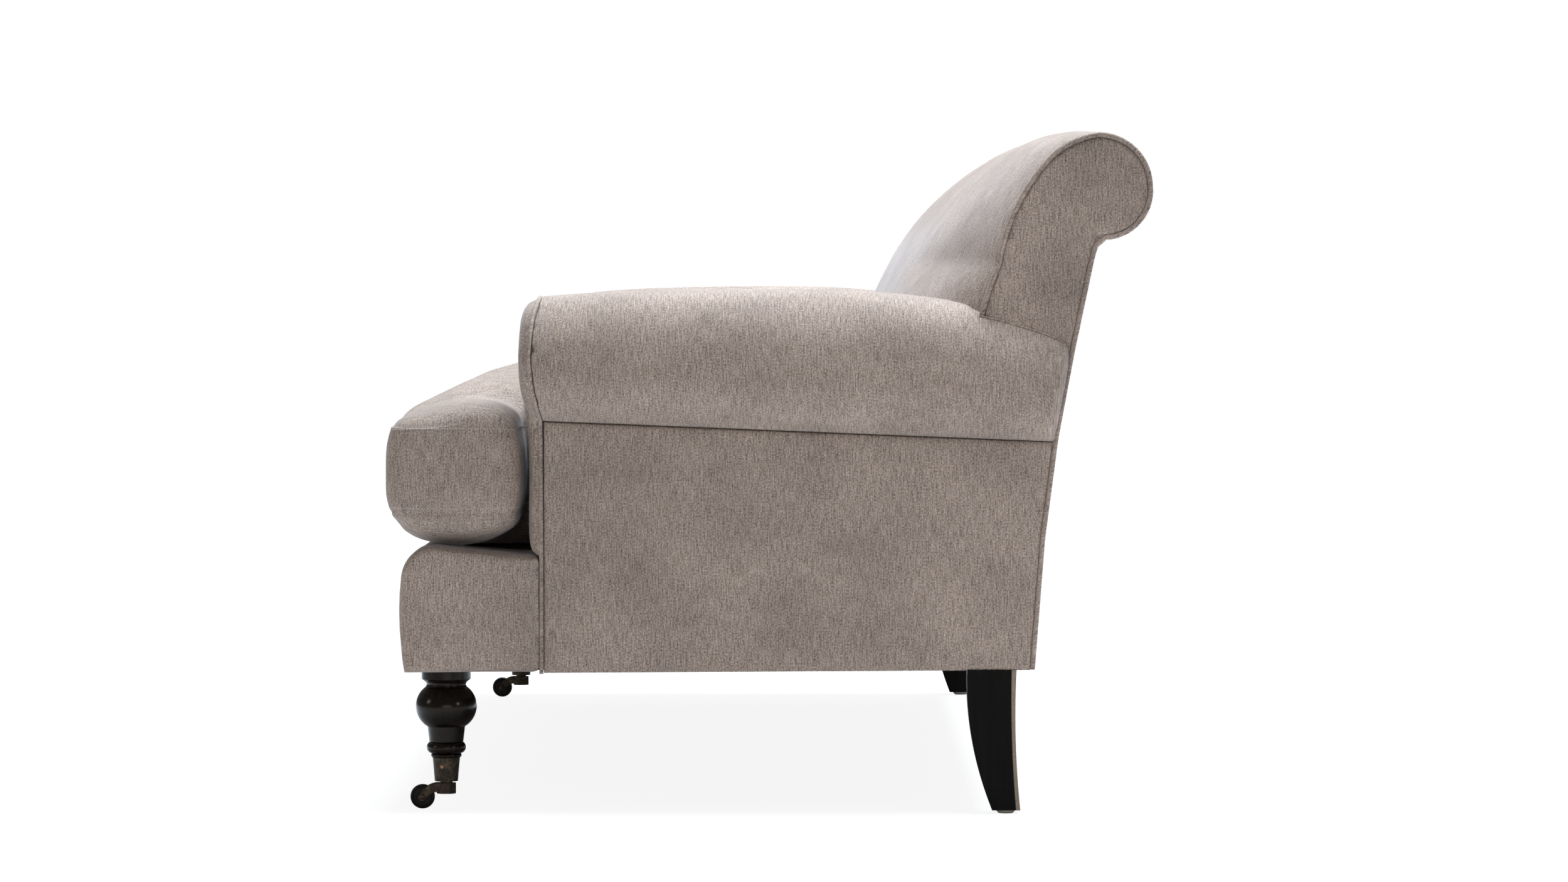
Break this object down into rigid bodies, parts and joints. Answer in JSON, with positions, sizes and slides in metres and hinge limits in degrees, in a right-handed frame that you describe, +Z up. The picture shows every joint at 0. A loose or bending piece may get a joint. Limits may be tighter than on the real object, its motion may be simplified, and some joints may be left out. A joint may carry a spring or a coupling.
{
  "type": "three-cushion sofa",
  "caption": "Roll-arm sofa in streaked taupe chenille with a scrolled back, loose seat cushions and turned black front legs on casters.",
  "frame": {"origin": "centre of the sofa's bounding box, on the floor", "axes": "+Z up, the sofa faces -Y, +X is the right-hand end seen from the front"},
  "size_m": [2.2352, 0.9909, 0.8836],
  "materials": {
    "upholstery": "warm grey taupe chenille with fine vertical streaks",
    "piping": "self piping in the same cloth",
    "foam": "cushion foam, hidden",
    "frame_timber": "raw hardwood, hidden",
    "espresso_wood": "espresso black lacquer, satin",
    "spring_steel": "plain steel",
    "webbing": "woven elastic strap",
    "dust_cloth": "black non-woven cloth",
    "antique_bronze": "darkened antique bronze, satin",
    "dark_wheel": "dark turned metal wheel",
    "copper_screw": "copper-toned screw",
    "glide_nylon": "pale moulded glide"
  },
  "bodies": {
    "sofa": {"seat_deck_pad": "upholstery", "front_border": "upholstery", "arm_cover_left": "upholstery", "arm_cover_right": "upholstery", "arm_front_facing_left": "upholstery", "arm_front_facing_right": "upholstery", "outside_arm_panel_left": "upholstery", "outside_arm_panel_right": "upholstery", "outside_back_panel": "upholstery", "back_pad": "upholstery", "back_side_panel_left": "upholstery", "back_side_panel_right": "upholstery", "arm_front_piping_left": "piping", "arm_front_piping_right": "piping", "back_piping_left": "piping", "back_piping_right": "piping", "front_seat_rail": "frame_timber", "rear_seat_rail": "frame_timber", "side_seat_rail_left": "frame_timber", "side_seat_rail_right": "frame_timber", "seat_cross_stretchers": "frame_timber", "corner_blocks": "frame_timber", "arm_front_post_left": "frame_timber", "arm_front_post_right": "frame_timber", "back_post_left": "frame_timber", "back_post_right": "frame_timber", "arm_top_board_left": "frame_timber", "arm_top_board_right": "frame_timber", "back_top_rail": "frame_timber", "back_lower_rail": "frame_timber", "back_uprights": "frame_timber", "front_leg_left": "espresso_wood", "front_leg_right": "espresso_wood", "rear_leg_left": "espresso_wood", "rear_leg_right": "espresso_wood", "seat_springs": "spring_steel", "spring_clips": "spring_steel", "leg_bolts": "spring_steel", "frame_screws": "spring_steel", "back_webbing": "webbing", "dust_cover": "dust_cloth", "caster_ferrules": "antique_bronze", "ferrule_screws": "copper_screw", "rear_glides": "glide_nylon"},
    "caster_fork_left": {"caster_fork_left": "antique_bronze", "caster_axle_left": "antique_bronze"},
    "caster_wheel_left": {"caster_wheel_left": "dark_wheel"},
    "caster_fork_right": {"caster_fork_right": "antique_bronze", "caster_axle_right": "antique_bronze"},
    "caster_wheel_right": {"caster_wheel_right": "dark_wheel"},
    "cushion_left": {"seat_cushion_left": "upholstery", "cushion_core_left": "foam"},
    "cushion_middle": {"seat_cushion_middle": "upholstery", "cushion_core_middle": "foam"},
    "cushion_right": {"seat_cushion_right": "upholstery", "cushion_core_right": "foam"}
  },
  "joints": [
    {"name": "caster_swivel_left", "type": "hinge", "parent": "sofa", "child": "caster_fork_left", "pos_m": [-0.99, -0.422, 0.0363], "axis": [0, 0, 1], "continuous": true},
    {"name": "wheel_spin_left", "type": "hinge", "parent": "caster_fork_left", "child": "caster_wheel_left", "pos_m": [-0.99, -0.453, 0.016], "axis": [1, 0, 0], "continuous": true},
    {"name": "caster_swivel_right", "type": "hinge", "parent": "sofa", "child": "caster_fork_right", "pos_m": [0.99, -0.422, 0.0363], "axis": [0, 0, 1], "continuous": true},
    {"name": "wheel_spin_right", "type": "hinge", "parent": "caster_fork_right", "child": "caster_wheel_right", "pos_m": [0.99, -0.453, 0.016], "axis": [1, 0, 0], "continuous": true},
    {"name": "cushion_lift_left", "type": "slide", "parent": "sofa", "child": "cushion_left", "axis": [0, 0, 1], "range_m": [0, 0.45]},
    {"name": "cushion_lift_middle", "type": "slide", "parent": "sofa", "child": "cushion_middle", "axis": [0, 0, 1], "range_m": [0, 0.45]},
    {"name": "cushion_lift_right", "type": "slide", "parent": "sofa", "child": "cushion_right", "axis": [0, 0, 1], "range_m": [0, 0.45]}
  ]
}
